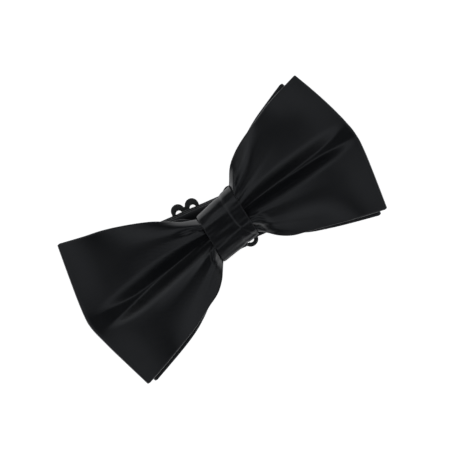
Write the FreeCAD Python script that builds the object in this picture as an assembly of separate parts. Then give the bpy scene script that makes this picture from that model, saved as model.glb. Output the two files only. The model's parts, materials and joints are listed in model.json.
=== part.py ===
"""Pre-tied satin bow tie, lying face up, with its neckband folded in a stack behind the bow.

X runs along the bow, Y across it, Z up out of the bow's face. The origin is the centre of the
bow's footprint on the surface that it lies on. All sizes are in millimetres.
"""
import FreeCAD, Part
import math
import os

V = FreeCAD.Vector
os.makedirs("parts", exist_ok=True)

# ---------------------------------------------------------------- driving dimensions
HALF_LENGTH = 60.0          # bow, centre to the tip of each end
LEAF = 0.8                  # one leaf of a bow: satin, interlining, satin
LINING = 0.2                # interlining inside a leaf
LINING_MARGIN = 0.7         # satin hem outside the interlining
SEAM_GAP = 0.6              # butt gap at a sewn centre seam

KNOT_X = 2.2                # centre of the knot band along the bow
KNOT_WIDTH = 15.6
KNOT_LEAN = 0.06            # the band leans this much along the bow per unit of height
KNOT_Y = 0.58               # its centre, across the bow
KNOT_RISE = 0.75            # and how much further out that is at the band's right edge
KNOT_HALF = (9.4, 10.1)     # half height of the band's centre line at its left and right edge
KNOT_SATIN = 0.6
KNOT_LINING = 0.3
KNOT_BACK_Z = 7.35          # centre line of the band behind the neckband
KNOT_TOP_Z = 20.0           # centre line of the band over the bow
TOP_ROUND = 3.2             # how square the band's section is over the bow, 2 being round
BACK_ROUND = 8.0            # and behind it
THREAD_BACK_Z = 9.15        # centre line of the gathering thread behind the bows

STRAP_WIDTH = 20.0
STRAP = 0.7                 # neckband thickness
STRAP_TILT = -12.0          # degrees, the folded neckband lies askew behind the bow
STRAP_OFFSET = 0.2          # run 1's centre line from the bow's centre, across the neckband
FAN = 0.6                   # each run lies this much further out than the run above it
RUN_1_Z = 8.55
RUN_2_Z = 6.45
RUN_3_Z = 5.45
LEFT_RUN_4_Z = 1.2          # under the slider's outer bars
RIGHT_RUN_4_Z = 2.75        # over the hook's bar
RETURN_Z = 0.35             # strap end that comes back under the run
OUTER_FOLD = 49.0           # folds of runs 1 and 2, from the centre
END_FOLD = 47.0             # folds of runs 3 and 4, from the centre
LEFT_INNER_FOLD = 5.5       # folds of runs 2 and 3, along the neckband
RIGHT_INNER_FOLD = 9.0
NECK_REACH = 12.0           # the drawn-in stretch runs about this far each way
NECK_WIDTH = 12.0           # neckband drawn in where it passes through the knot

SLIDER_S = -9.8             # slider, along the neckband
SLIDER_SIZE = (10.8, 27.0)  # along and across the neckband
PLATE = 1.4                 # thickness of the moulded hardware
SLIDER_Z = 2.4
SLOT = (2.4, 22.0)
SLOT_PITCH = 5.6
CHAMFER = 0.4               # the strap's turns over the middle bar cut their corners by this
FIXED_RUN_END = -36.0       # left run 4 is flat and still up to here, clear of the slider's travel

RING_SIZE = (5.8, 24.4)     # eye, and the strap ring of the hook
RING_WINDOW = (2.6, 21.2)
BAR_R = 0.7                 # round bar that the strap turns about
BAR_Z = 1.55
EYE_BAR_S = 5.9
HOOK_BAR_S = 24.6
HOOK_WIDTH = 8.0

THREAD = 0.5
STITCH_R = 0.15
STITCH = 0.45               # length of a stitch across a butted seam


# ---------------------------------------------------------------- geometry helpers
def smooth(points, x):
    """Value at x of a smooth curve through points, which rise in x; flat outside them."""
    if x <= points[0][0]:
        return points[0][1]
    if x >= points[-1][0]:
        return points[-1][1]
    i = max(k for k in range(len(points) - 1) if points[k][0] <= x)

    def slope(k):
        a, b = points[max(k - 1, 0)], points[min(k + 1, len(points) - 1)]
        return (b[1] - a[1]) / (b[0] - a[0])

    (x0, y0), (x1, y1) = points[i], points[i + 1]
    h = x1 - x0
    t = (x - x0) / h
    return ((2 * t**3 - 3 * t**2 + 1) * y0 + (t**3 - 2 * t**2 + t) * h * slope(i)
            + (3 * t**2 - 2 * t**3) * y1 + (t**3 - t**2) * h * slope(i + 1))


def between(low, high, count):
    return [low + (high - low) * k / (count - 1) for k in range(count)]


def skin(rows):
    """Smooth cubic surface drawn by a net of points."""
    def spread(count):
        return [4] + [1] * (count - 4) + [4], [float(k) for k in range(count - 2)]

    (u_mults, u_knots), (v_mults, v_knots) = spread(len(rows)), spread(len(rows[0]))
    surface = Part.BSplineSurface()
    surface.buildFromPolesMultsKnots(rows, u_mults, v_mults, u_knots, v_knots,
                                     False, False, 3, 3)
    return surface.toShape()


def sheet(surface, us, vs, thickness):
    """Closed solid of a sheet of even thickness about surface(u, v)."""
    step = 1e-4

    def point(u, v, side):
        du = surface(u + step, v) - surface(u - step, v)
        dv = surface(u, v + step) - surface(u, v - step)
        normal = du.cross(dv)
        normal.normalize()
        return surface(u, v) + normal * (side * thickness / 2)

    top, bottom = [skin([[point(u, v, side) for v in vs] for u in us]) for side in (1, -1)]
    sides = [Part.makeRuledSurface(a, b) for a, b in zip(top.Edges, bottom.Edges)]
    shell = Part.Shell(Part.makeCompound([top, bottom] + sides).Faces)
    shell.sewShape()
    solid = Part.Solid(shell)
    if solid.Volume < 0:
        solid.reverse()
    return solid


def hollow(outer, inner):
    """Outer solid with a sealed space for the inner one."""
    return outer.cut(inner)


def ribbon(path, width, thickness=STRAP):
    """Strap along path, a list of (s, z) points, with mitred corners, width across it."""
    def normal(a, b):
        length = math.hypot(b[0] - a[0], b[1] - a[1])
        return (-(b[1] - a[1]) / length, (b[0] - a[0]) / length)

    left, right = [], []
    for k, (s, z) in enumerate(path):
        n0 = normal(path[max(k - 1, 0)], path[max(k, 1)])
        n1 = normal(path[min(k, len(path) - 2)], path[min(k + 1, len(path) - 1)])
        m = (n0[0] + n1[0], n0[1] + n1[1])
        scale = thickness / (m[0]**2 + m[1]**2)
        left.append(V(s + m[0] * scale, -width / 2, z + m[1] * scale))
        right.append(V(s - m[0] * scale, -width / 2, z - m[1] * scale))
    outline = left + right[::-1]
    face = Part.Face(Part.makePolygon(outline + outline[:1]))
    return face.extrude(V(0, width, 0))


def arc_path(s, z, radius, start, stop, count=13):
    """Points of an arc about (s, z), angles in degrees from +s towards +z."""
    return [(s + radius * math.cos(math.radians(a)), z + radius * math.sin(math.radians(a)))
            for a in between(start, stop, count)]


def fold(s, upper_z, lower_z, towards, width=STRAP_WIDTH):
    """Half turn of the strap between two runs; towards is +1 for a fold that bulges to +s."""
    middle, radius = (upper_z + lower_z) / 2, (upper_z - lower_z) / 2
    face = Part.makeCylinder(radius + STRAP / 2, width, V(s, -width / 2, middle), V(0, 1, 0))
    core = Part.makeCylinder(radius - STRAP / 2, width, V(s, -width / 2, middle), V(0, 1, 0))
    room = Part.makeBox(20, width, 20, V(s if towards > 0 else s - 20, -width / 2, middle - 10))
    return face.cut(core).common(room)


def stadium(length, width, height, s, z):
    """Plate with round ends across the strap, centred on s and z."""
    straight = width - length
    box = Part.makeBox(length, straight, height, V(s - length / 2, -straight / 2, z - height / 2))
    ends = [Part.makeCylinder(length / 2, height, V(s, y, z - height / 2))
            for y in (-straight / 2, straight / 2)]
    return box.multiFuse(ends).removeSplitter()


def on_strap(shape, run):
    """Moves a shape from the neckband's own lines to its place behind the bow."""
    shape = shape.copy()
    shape.translate(V(0, STRAP_OFFSET + FAN * (run - 1), 0))
    shape.rotate(V(0, 0, 0), V(0, 0, 1), STRAP_TILT)
    return shape


def save(name, shape):
    if not shape.isValid():
        print("not valid:", name)
    shape.exportStep("parts/" + name + ".step")
    box = shape.BoundBox
    print(f"{name:26s} solids {len(shape.Solids)}  volume {shape.Volume:9.2f}  "
          f"x {box.XMin:6.1f} {box.XMax:6.1f}  y {box.YMin:6.1f} {box.YMax:6.1f}  "
          f"z {box.ZMin:5.2f} {box.ZMax:5.2f}")


# ---------------------------------------------------------------- the two bows
GATHER_HALF = 8.0           # half height of the bow where the knot gathers it
GATHER_REACH = 8.0          # the gather runs this far each side of the knot's centre
END_BEND = 0.15             # how round the middle of each end edge is

# Top and bottom edges of each wing, as (distance from the knot's centre, height).
FRONT = {
    "left": {"top": [(0, 7.7), (6, 7.4), (9, 8.7), (13, 10.6), (22, 17.2), (38, 24.8), (53.6, 30.0)],
             "bottom": [(0, -7.2), (6, -7.5), (9, -9.2), (13, -13.6), (22, -19.4), (38, -25.0),
                        (56.0, -29.6)],
             "tip": 61.0},
    "right": {"top": [(0, 7.7), (6, 8.3), (9, 10.4), (13, 16.6), (22, 22.0), (38, 27.4),
                      (51.2, 30.2)],
              "bottom": [(0, -7.2), (6, -6.9), (9, -8.3), (13, -12.4), (22, -18.0), (38, -24.0),
                         (50.0, -28.0)],
              "tip": 56.6},
}
REAR = {
    "left": {"top": [(0, 7.4), (6, 7.2), (9, 8.0), (13, 9.8), (22, 16.2), (38, 23.6), (50.0, 28.4)],
             "bottom": [(0, -6.8), (6, -7.0), (9, -8.8), (13, -12.8), (22, -19.2), (38, -26.2),
                        (53.4, -30.2)],
             "tip": 57.0},
    "right": {"top": [(0, 7.4), (6, 7.8), (9, 9.4), (13, 14.6), (22, 21.4), (38, 28.0),
                      (45.4, 30.2)],
              "bottom": [(0, -6.8), (6, -6.5), (9, -7.9), (13, -11.6), (22, -18.2), (38, -25.2),
                         (47.2, -28.4)],
              "tip": 52.6},
}
# Height of each leaf's centre above the table, against its reach from knot (0) to end (1).
FRONT_CREST = [(0, 18.2), (0.15, 18.0), (0.5, 16.2), (1, 13.9)]
FRONT_BACK = [(0, 14.0), (0.3, 12.4), (1, 12.3)]
REAR_CREST = [(0, 12.5), (0.3, 11.1), (1, 11.1)]
REAR_BACK = [(0, 10.0), (0.3, 9.6), (1, 9.55)]
VALLEY_DEPTH = [(0, 2.6), (0.15, 4.4), (0.55, 2.8), (1, 0.2)]
VALLEY_WIDTH = [(0, 2.2), (1, 6.5)]
EDGE_DROP = [(0, 2.8), (0.2, 3.0), (0.6, 1.6), (1, 0.0)]


def wing_point(bow, side, reach, v):
    """Plan position in a wing: reach 0 at the knot's centre, 1 at the end; v -1 to 1 across."""
    wing = bow[side]
    corner_t, corner_b = wing["top"][-1][0], wing["bottom"][-1][0]
    up = (v + 1) / 2
    along = reach * (corner_b + (corner_t - corner_b) * up)
    top = smooth(wing["top"], reach * corner_t)
    bottom = smooth(wing["bottom"], reach * corner_b)
    full = math.sqrt(1 + END_BEND**2)
    tent = (full - math.sqrt(v * v + END_BEND**2)) / (full - END_BEND)
    along += (wing["tip"] - (corner_t + corner_b) / 2) * tent * reach**3
    sign = -1 if side == "left" else 1
    return KNOT_X + sign * along, bottom + (top - bottom) * up


def out_of_knot(side, reach, bow):
    """0 inside the gather, rising to 1 at the end of the wing."""
    span = bow[side]["tip"]
    return max(0.0, (reach * span - GATHER_REACH) / (span - GATHER_REACH))


def loop_surface(bow, crest, back, relief):
    """Flattened satin loop: from the seam behind, left end, face, right end, back to the seam."""
    gap = SEAM_GAP / 2 / HALF_LENGTH

    def leaf(side, reach, v, front):
        r = out_of_knot(side, reach, bow)
        x, y = wing_point(bow, side, reach, v)
        if not front:
            return V(x, y, smooth(back, r))
        z = smooth(crest, r) - smooth(EDGE_DROP, r) * v * v * relief
        middle = {"left": 1.0 - 2.7 * r, "right": 1.9 + 0.7 * r}[side]
        fall = math.exp(-((y - middle) / smooth(VALLEY_WIDTH, r))**2)
        return V(x, y, z - smooth(VALLEY_DEPTH, r) * fall * relief)

    def surface(u, v):
        side = "left" if u < 0 else "right"
        w = abs(u)
        if w <= 1:                                  # face, from the knot's centre outwards
            return leaf(side, w, v, True)
        if w >= 2:                                  # back, from the end in to the seam
            return leaf(side, max(3 - w, gap), v, False)
        top, low = leaf(side, 1, v, True), leaf(side, 1, v, False)
        turn = math.pi * (w - 1)
        radius = (top.z - low.z) / 2
        sign = -1 if side == "left" else 1
        return V(top.x + sign * radius * math.sin(turn), top.y,
                 (top.z + low.z) / 2 + radius * math.cos(turn))

    return surface, gap


def build_bow(name, bow, crest, back, relief):
    surface, gap = loop_surface(bow, crest, back, relief)

    def stations(seam):
        """Places along the loop, closer together towards the end folds."""
        face = [1 - (1 - t)**1.6 for t in between(0, 1, 15)]
        turn = [1 + k / 6 for k in range(1, 6)]
        back = [3 - max(r, seam) for r in reversed(face)]
        half = face[1:] + turn + back
        return [-u for u in reversed(half)] + [0.0] + half

    across = between(-1, 1, 13)
    satin = sheet(surface, stations(gap), across, LEAF)
    margin = 1 - LINING_MARGIN / GATHER_HALF
    inner = gap + LINING_MARGIN / HALF_LENGTH
    room = sheet(surface, stations(inner), [v * margin for v in across], LINING + 0.1)
    lining = sheet(surface, stations(inner * 1.1), [v * margin * 0.99 for v in across], LINING)
    save(name + "_satin", hollow(satin, room))
    save(name + "_interlining", lining)

    stitches = []
    z = smooth(back, 0)
    for y in between(-6, 6, 7):
        stitches.append(Part.makeCylinder(STITCH_R, STITCH, V(KNOT_X - STITCH / 2, y, z),
                                          V(1, 0, 0)))
    save(name + "_seam_stitches", Part.makeCompound(stitches))


# ---------------------------------------------------------------- knot band
def knot_surface(inset, back=KNOT_BACK_Z):
    """Band round the middle of the bow; u goes once round it from the seam behind, v along X.

    It is rounded over the bow and flatter behind.
    """
    middle = (KNOT_TOP_Z + KNOT_BACK_Z) / 2

    def surface(u, v):
        turn = 2 * math.pi * u - math.pi / 2
        half = KNOT_HALF[0] + (KNOT_HALF[1] - KNOT_HALF[0]) * (v + 1) / 2 - inset
        c, s = math.cos(turn), math.sin(turn)
        power = 2 / (TOP_ROUND if s > 0 else BACK_ROUND)
        high = KNOT_TOP_Z - inset - middle if s > 0 else middle - back - inset
        y = half * math.copysign(abs(c)**power, c)
        z = middle + high * math.copysign(abs(s)**power, s)
        x = KNOT_X + v * KNOT_WIDTH / 2 + KNOT_LEAN * y
        return V(x, KNOT_Y + KNOT_RISE * v + y, z)

    return surface


def knot_turns(gap):
    """Places round the band, from one side of its seam, over the bow, to the other side."""
    across_back = (gap, 0.2, 0.4, 0.6, 0.75, 0.86, 0.93, 0.98)
    back = [math.asin(q**(BACK_ROUND / 2)) / (2 * math.pi) for q in across_back]
    half = back + [0.22] + between(0.25, 0.5, 10)
    return half + [1 - u for u in reversed(half[:-1])]


def build_gathering_thread():
    """Turns of thread that draw both bows in at the middle, inside the knot band."""
    inset = KNOT_SATIN / 2 + KNOT_LINING + THREAD / 2 + 0.25
    surface = knot_surface(inset, THREAD_BACK_Z - inset)
    rings = []
    for v in (-0.3, 0.0, 0.3):
        half_width = THREAD / KNOT_WIDTH
        across = between(v - half_width, v + half_width, 4)
        rings.append(sheet(surface, knot_turns(0.05), across, THREAD))
    save("gathering_thread", Part.makeCompound(rings))


def build_knot():
    gap = SEAM_GAP / 2 / KNOT_HALF[0]
    across = between(-1, 1, 5)
    save("knot_satin", sheet(knot_surface(0), knot_turns(gap), across, KNOT_SATIN))
    inset = (KNOT_SATIN + KNOT_LINING) / 2 + 0.12
    trimmed = [v * 0.8 for v in across]
    save("knot_interlining", sheet(knot_surface(inset), knot_turns(2 * gap), trimmed, KNOT_LINING))

    surface, edge = knot_surface(0), knot_turns(gap)[0]
    stitches = []
    for v in between(-0.8, 0.8, 6):
        start, across_seam = surface(edge, v), surface(1 - edge, v) - surface(edge, v)
        stitches.append(Part.makeCylinder(STITCH_R, across_seam.Length, start, across_seam))
    save("knot_seam_stitches", Part.makeCompound(stitches))


# ---------------------------------------------------------------- neckband
def build_centre_run():
    """Run 1, which passes through the knot and is drawn in there."""
    square_up = math.tan(math.radians(-STRAP_TILT))     # slope that brings it in line with the bow
    edges = ([], [])
    for s in between(-OUTER_FOLD, OUTER_FOLD, 29):
        narrow = math.exp(-((s - KNOT_X) / NECK_REACH)**4)
        half = (STRAP_WIDTH + (NECK_WIDTH - STRAP_WIDTH) * narrow) / 2
        middle = 0.8 * s * square_up * narrow
        edges[0].append(V(s, middle + half, 0))
        edges[1].append(V(s, middle - half, 0))
    upper, lower = Part.BSplineCurve(), Part.BSplineCurve()
    upper.interpolate(edges[0])
    lower.interpolate(edges[1])
    ends = [Part.makeLine(edges[1][k], edges[0][k]) for k in (0, -1)]
    outline = Part.Wire([upper.toShape(), ends[1], lower.toShape(), ends[0]])
    face = Part.Face(outline)
    face.translate(V(0, 0, RUN_1_Z - STRAP / 2))
    save("neckband_run_1", on_strap(face.extrude(V(0, 0, STRAP)), 1))


def flat_run(name, start, stop, z, run):
    save(name, on_strap(ribbon([(start, z), (stop, z)], STRAP_WIDTH), run))


def build_left_side():
    flat_run("left_run_2", -OUTER_FOLD, LEFT_INNER_FOLD, RUN_2_Z, 2)
    flat_run("left_run_3", -END_FOLD, LEFT_INNER_FOLD, RUN_3_Z, 3)
    flat_run("left_run_4", -END_FOLD, FIXED_RUN_END, LEFT_RUN_4_Z, 4)
    save("left_outer_fold", on_strap(fold(-OUTER_FOLD, RUN_1_Z, RUN_2_Z, -1), 1.5))
    save("left_inner_fold", on_strap(fold(LEFT_INNER_FOLD, RUN_2_Z, RUN_3_Z, 1), 2.5))
    save("left_end_fold", on_strap(fold(-END_FOLD, RUN_3_Z, LEFT_RUN_4_Z, -1), 3.5))


def build_right_side():
    flat_run("right_run_2", RIGHT_INNER_FOLD, OUTER_FOLD, RUN_2_Z, 2)
    flat_run("right_run_3", RIGHT_INNER_FOLD, END_FOLD, RUN_3_Z, 3)
    flat_run("right_run_4", HOOK_BAR_S, END_FOLD, RIGHT_RUN_4_Z, 4)
    save("right_outer_fold", on_strap(fold(OUTER_FOLD, RUN_1_Z, RUN_2_Z, 1), 1.5))
    save("right_inner_fold", on_strap(fold(RIGHT_INNER_FOLD, RUN_2_Z, RUN_3_Z, -1), 2.5))
    save("right_end_fold", on_strap(fold(END_FOLD, RUN_3_Z, RIGHT_RUN_4_Z, 1), 3.5))


# ---------------------------------------------------------------- adjuster: slider, eye and straps
def build_slider():
    length, width = SLIDER_SIZE
    lobe = length - SLOT_PITCH
    rings = [stadium(lobe, width, PLATE, SLIDER_S + d, SLIDER_Z)
             for d in (-SLOT_PITCH / 2, SLOT_PITCH / 2)]
    bridge = Part.makeBox(SLOT_PITCH, width - lobe, PLATE,
                          V(SLIDER_S - SLOT_PITCH / 2, (lobe - width) / 2, SLIDER_Z - PLATE / 2))
    slots = [stadium(SLOT[0], SLOT[1], PLATE, SLIDER_S + d, SLIDER_Z)
             for d in (-SLOT_PITCH / 2, SLOT_PITCH / 2)]
    plate = rings[0].multiFuse([rings[1], bridge]).removeSplitter()
    save("slider", on_strap(plate.cut(Part.makeCompound(slots)), 4))

    bar_half = (SLOT_PITCH - SLOT[0]) / 2
    wrap = bar_half + 0.1 + STRAP / 2           # centre line of the end loop, from the bar's middle
    above, below = SLIDER_Z + PLATE / 2, SLIDER_Z - PLATE / 2
    lift = 0.1 + STRAP / 2
    top = above + lift
    loop = [(-wrap, below - 0.1), (-wrap, top - CHAMFER), (CHAMFER - wrap, top),
            (wrap - CHAMFER, top), (wrap, top - CHAMFER), (wrap, below - 0.3),
            (wrap - 0.9, RETURN_Z + 0.75)]
    end_loop = ribbon([(SLIDER_S + s, z) for s, z in loop], STRAP_WIDTH)
    save("strap_end_loop", on_strap(end_loop, 4))

    outside = wrap + STRAP + 0.12
    half = SLIDER_SIZE[0] / 2
    over = top + STRAP + 0.12
    hump = [(-half - 0.3, LEFT_RUN_4_Z), (-outside, LEFT_RUN_4_Z), (-outside, over - CHAMFER),
            (CHAMFER - outside, over), (outside - CHAMFER, over), (outside, over - CHAMFER),
            (outside, LEFT_RUN_4_Z), (half + 0.3, LEFT_RUN_4_Z)]
    save("strap_over_slider", on_strap(ribbon([(SLIDER_S + s, z) for s, z in hump],
                                              STRAP_WIDTH), 4))
    tack = [Part.makeBox(THREAD, STRAP_WIDTH - 4, 0.3,
                         V(SLIDER_S + d, 2 - STRAP_WIDTH / 2, RETURN_Z + STRAP / 2 + 0.02))
            for d in (-0.9, 0.1)]
    save("slider_bar_tack", on_strap(Part.makeCompound(tack), 4))
    return half + 0.3


def build_adjuster_straps(half_pass):
    """Stretches that change length as the slider moves, and the turn about the eye's bar."""
    radius = RIGHT_RUN_4_Z - BAR_Z
    save("left_run_4_free", on_strap(ribbon([(FIXED_RUN_END, LEFT_RUN_4_Z),
                                             (SLIDER_S - half_pass, LEFT_RUN_4_Z)],
                                            STRAP_WIDTH), 4))
    upper = [(SLIDER_S + half_pass, LEFT_RUN_4_Z), (SLIDER_S + half_pass + 1.5, LEFT_RUN_4_Z),
             (EYE_BAR_S - 2.5, BAR_Z + radius), (EYE_BAR_S, BAR_Z + radius)]
    save("eye_strap_upper", on_strap(ribbon(upper, STRAP_WIDTH), 4))
    lower = [(SLIDER_S - 1.4, RETURN_Z), (EYE_BAR_S, RETURN_Z)]
    save("eye_strap_return", on_strap(ribbon(lower, STRAP_WIDTH), 4))
    save("eye_strap_turn", on_strap(fold(EYE_BAR_S, BAR_Z + radius, BAR_Z - radius, 1), 4))


def strap_ring(bar_s, towards):
    """Moulded ring with a round strap bar at bar_s; the ring reaches towards +s or -s."""
    length, width = RING_SIZE
    centre = bar_s + towards * (RING_WINDOW[0] / 2 + (length - RING_WINDOW[0]) / 4)
    ring = stadium(length, width, PLATE, centre, BAR_Z)
    ring = ring.cut(stadium(*RING_WINDOW, PLATE, centre, BAR_Z))
    clear = STRAP_WIDTH + 0.6
    side = bar_s - towards * (length - RING_WINDOW[0]) / 4
    notch = Part.makeBox(2.4, clear, PLATE,
                         V(min(side, side + towards * 2.4), -clear / 2, BAR_Z - PLATE / 2))
    bar = Part.makeCylinder(BAR_R, clear, V(bar_s, -clear / 2, BAR_Z), V(0, 1, 0))
    return ring.cut(notch).fuse(bar).removeSplitter(), centre


def build_eye():
    ring, _ = strap_ring(EYE_BAR_S, 1)
    save("eye", on_strap(ring, 4))


def build_hook():
    ring, centre = strap_ring(HOOK_BAR_S, -1)
    edge = centre - RING_SIZE[0] / 2
    tongue = [(edge + 0.8, BAR_Z - 0.1), (edge - 3.6, BAR_Z - 0.1)]
    tongue += arc_path(edge - 3.6, BAR_Z + 1.15, 1.25, 270, 90, 9)[1:]
    tongue += [(edge - 0.9, BAR_Z + 2.4)]
    save("hook", on_strap(ring.fuse(ribbon(tongue, HOOK_WIDTH, 1.0)).removeSplitter(), 4))

    radius = RIGHT_RUN_4_Z - BAR_Z
    save("hook_strap_turn", on_strap(fold(HOOK_BAR_S, BAR_Z + radius, BAR_Z - radius, -1), 4))
    save("hook_strap_tongue", on_strap(ribbon([(HOOK_BAR_S, RETURN_Z), (HOOK_BAR_S + 9, RETURN_Z)],
                                              STRAP_WIDTH), 4))
    low, high = RETURN_Z + STRAP / 2, RIGHT_RUN_4_Z - STRAP / 2
    tack = [Part.makeBox(THREAD, STRAP_WIDTH - 4, high - low,
                         V(HOOK_BAR_S + d, 2 - STRAP_WIDTH / 2, low)) for d in (6.0, 7.2)]
    save("hook_bar_tack", on_strap(Part.makeCompound(tack), 4))


build_bow("front_bow", FRONT, FRONT_CREST, FRONT_BACK, 1.0)
build_bow("rear_bow", REAR, REAR_CREST, REAR_BACK, 0.0)
build_knot()
build_gathering_thread()
build_centre_run()
build_left_side()
build_right_side()
build_adjuster_straps(build_slider())
build_eye()
build_hook()
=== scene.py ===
"""Pre-tied black satin bow tie, lying face up on a white surface and seen from straight above."""
import json
import math

import bmesh
import bpy
import numpy as np
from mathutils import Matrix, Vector


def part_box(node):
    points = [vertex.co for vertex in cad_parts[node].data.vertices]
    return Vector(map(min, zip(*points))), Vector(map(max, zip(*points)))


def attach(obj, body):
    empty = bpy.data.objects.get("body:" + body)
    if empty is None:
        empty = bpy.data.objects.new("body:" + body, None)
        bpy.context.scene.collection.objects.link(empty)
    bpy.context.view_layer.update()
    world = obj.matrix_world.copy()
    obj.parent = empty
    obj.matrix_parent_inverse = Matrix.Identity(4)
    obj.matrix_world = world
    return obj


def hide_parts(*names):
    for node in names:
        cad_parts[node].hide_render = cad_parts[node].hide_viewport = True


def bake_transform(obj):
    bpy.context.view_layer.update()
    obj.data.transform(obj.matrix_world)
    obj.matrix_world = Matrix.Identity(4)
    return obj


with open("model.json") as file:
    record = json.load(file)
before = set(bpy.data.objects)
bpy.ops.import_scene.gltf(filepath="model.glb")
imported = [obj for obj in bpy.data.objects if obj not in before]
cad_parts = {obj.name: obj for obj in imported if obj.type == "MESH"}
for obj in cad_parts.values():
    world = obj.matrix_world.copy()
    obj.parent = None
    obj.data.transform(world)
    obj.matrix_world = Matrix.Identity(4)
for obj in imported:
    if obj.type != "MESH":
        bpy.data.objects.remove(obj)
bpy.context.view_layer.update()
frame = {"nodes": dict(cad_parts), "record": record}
MM = 0.001


# ---------------------------------------------------------------- shapes from the frame, in mm
KNOT_WIDTH = 15.6
KNOT_HALF = 9.7          # half its height at its left edge
KNOT_FLARE = 0.7         # how much more it has at its right edge
KNOT_LEAN = 0.06         # lean of its upright edges
KNOT_RISE = 0.75         # rise of its middle line from the centre to the right edge
knot_low, knot_high = (Vector(c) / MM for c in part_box("knot_satin"))
KNOT_X = (knot_low.x + knot_high.x) / 2
KNOT_Y = 0.58
KNOT_TOP = knot_high.z
KNOT_BACK = knot_low.z

joints = {j["name"]: j for j in frame["record"]["behaviour"]["joints"]}
ALONG = Vector(joints["eye_slide"]["axis"])             # along the neckband
ACROSS = Vector((-ALONG.y, ALONG.x, 0))
STRAP = 0.7              # thickness of the strap
STRAP_WIDTH = 20.0


def strap_point(s, lateral, z):
    """Point in mm at s along the neckband, lateral across it and height z."""
    return np.array([s * ALONG.x + lateral * ACROSS.x, s * ALONG.y + lateral * ACROSS.y, z])


def run_offset(run):
    """Centre line of a run across the neckband: each lies a little further out than the last."""
    return 0.2 + 0.6 * (run - 1)


# ---------------------------------------------------------------- helpers
def smooth(points, x):
    """Values at x of a smooth curve through points, which rise in x; flat outside them."""
    px = np.array([p[0] for p in points], float)
    py = np.array([p[1] for p in points], float)
    slope = np.empty_like(py)
    slope[1:-1] = (py[2:] - py[:-2]) / (px[2:] - px[:-2])
    slope[0] = (py[1] - py[0]) / (px[1] - px[0])
    slope[-1] = (py[-1] - py[-2]) / (px[-1] - px[-2])
    x = np.clip(np.asarray(x, float), px[0], px[-1])
    i = np.clip(np.searchsorted(px, x, side="right") - 1, 0, len(px) - 2)
    h = px[i + 1] - px[i]
    t = (x - px[i]) / h
    return ((2 * t**3 - 3 * t**2 + 1) * py[i] + (t**3 - 2 * t**2 + t) * h * slope[i]
            + (3 * t**2 - 2 * t**3) * py[i + 1] + (t**3 - t**2) * h * slope[i + 1])


def ramp(x, low, high):
    """0 below low, 1 above high, and a smooth step between them."""
    t = np.clip((np.asarray(x, float) - low) / (high - low), 0, 1)
    return t * t * (3 - 2 * t)


def unit(v):
    """Vectors scaled to length 1."""
    return v / np.maximum(np.linalg.norm(v, axis=-1, keepdims=True), 1e-9)


def object_from(name, points, faces, weave, material):
    """Mesh object from points in mm, with the cloth's own coordinates for its weave."""
    mesh = bpy.data.meshes.new(name)
    mesh.from_pydata((np.asarray(points) * MM).tolist(), [], faces)
    mesh.update()
    attribute = mesh.attributes.new("weave", "FLOAT_VECTOR", "POINT")
    attribute.data.foreach_set("vector", np.asarray(weave, np.float32).ravel())
    mesh.polygons.foreach_set("use_smooth", [True] * len(mesh.polygons))
    piece = bpy.data.objects.new(name, mesh)
    bpy.context.collection.objects.link(piece)
    mesh.materials.append(material)
    fix = bmesh.new()
    fix.from_mesh(mesh)
    bmesh.ops.recalc_face_normals(fix, faces=fix.faces)
    for cap in (face for face in fix.faces if len(face.verts) > 4):
        for edge in cap.edges:
            edge.smooth = False
    fix.to_mesh(mesh)
    fix.free()
    return piece


def tube_sheet(name, net, thickness, material, closed=False, rim=4, weave=None):
    """Flat cloth tube about a net of points net[u, v]: two plies joined by rounded folded edges.

    thickness is a number or an array over the net. closed joins the last row to the first.
    """
    net = np.asarray(net, float)
    rows, cols = net.shape[:2]
    if closed:
        du = np.roll(net, -1, 0) - np.roll(net, 1, 0)
    else:
        du = np.gradient(net, axis=0)
    dv = np.gradient(net, axis=1)
    normal = unit(np.cross(du, dv))
    half = np.broadcast_to(np.asarray(thickness, float) / 2, (rows, cols))[..., None]
    outward_low = unit(net[:, 0] - net[:, 1])
    outward_high = unit(net[:, -1] - net[:, -2])
    across = np.concatenate([np.zeros((rows, 1)),
                             np.cumsum(np.linalg.norm(np.diff(net, axis=1), axis=2), axis=1)], 1)
    along = np.cumsum(np.concatenate([[0], np.linalg.norm(np.diff(net[:, cols // 2], axis=0),
                                                          axis=1)]))
    rings, marks = [], []

    def add(points, v_mm, side):
        rings.append(points)
        marks.append(np.stack([along, v_mm, np.full(rows, float(side))], 1))

    for c in range(cols):
        add(net[:, c] + normal[:, c] * half[:, c], across[:, c], 1)
    for k in range(1, rim):
        a = math.pi * k / rim
        add(net[:, -1] + half[:, -1] * (normal[:, -1] * math.cos(a) + outward_high * math.sin(a)),
            across[:, -1] + a * half[:, -1, 0] * 0.5, 1)
    for c in reversed(range(cols)):
        add(net[:, c] - normal[:, c] * half[:, c], across[:, c], 0)
    for k in range(1, rim):
        a = math.pi * k / rim
        add(net[:, 0] + half[:, 0] * (-normal[:, 0] * math.cos(a) + outward_low * math.sin(a)),
            across[:, 0] - a * half[:, 0, 0] * 0.5, 0)
    points = np.stack(rings, 1)
    marks = np.stack(marks, 1)
    count = points.shape[1]
    faces = []
    for r in range(rows if closed else rows - 1):
        n = (r + 1) % rows
        for c in range(count):
            d = (c + 1) % count
            faces.append((r * count + c, n * count + c, n * count + d, r * count + d))
    if not closed:
        faces.append(tuple(range(count)))
        faces.append(tuple((rows - 1) * count + c for c in reversed(range(count))))
    return object_from(name, points.reshape(-1, 3), faces, marks.reshape(-1, 3), material)


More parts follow.
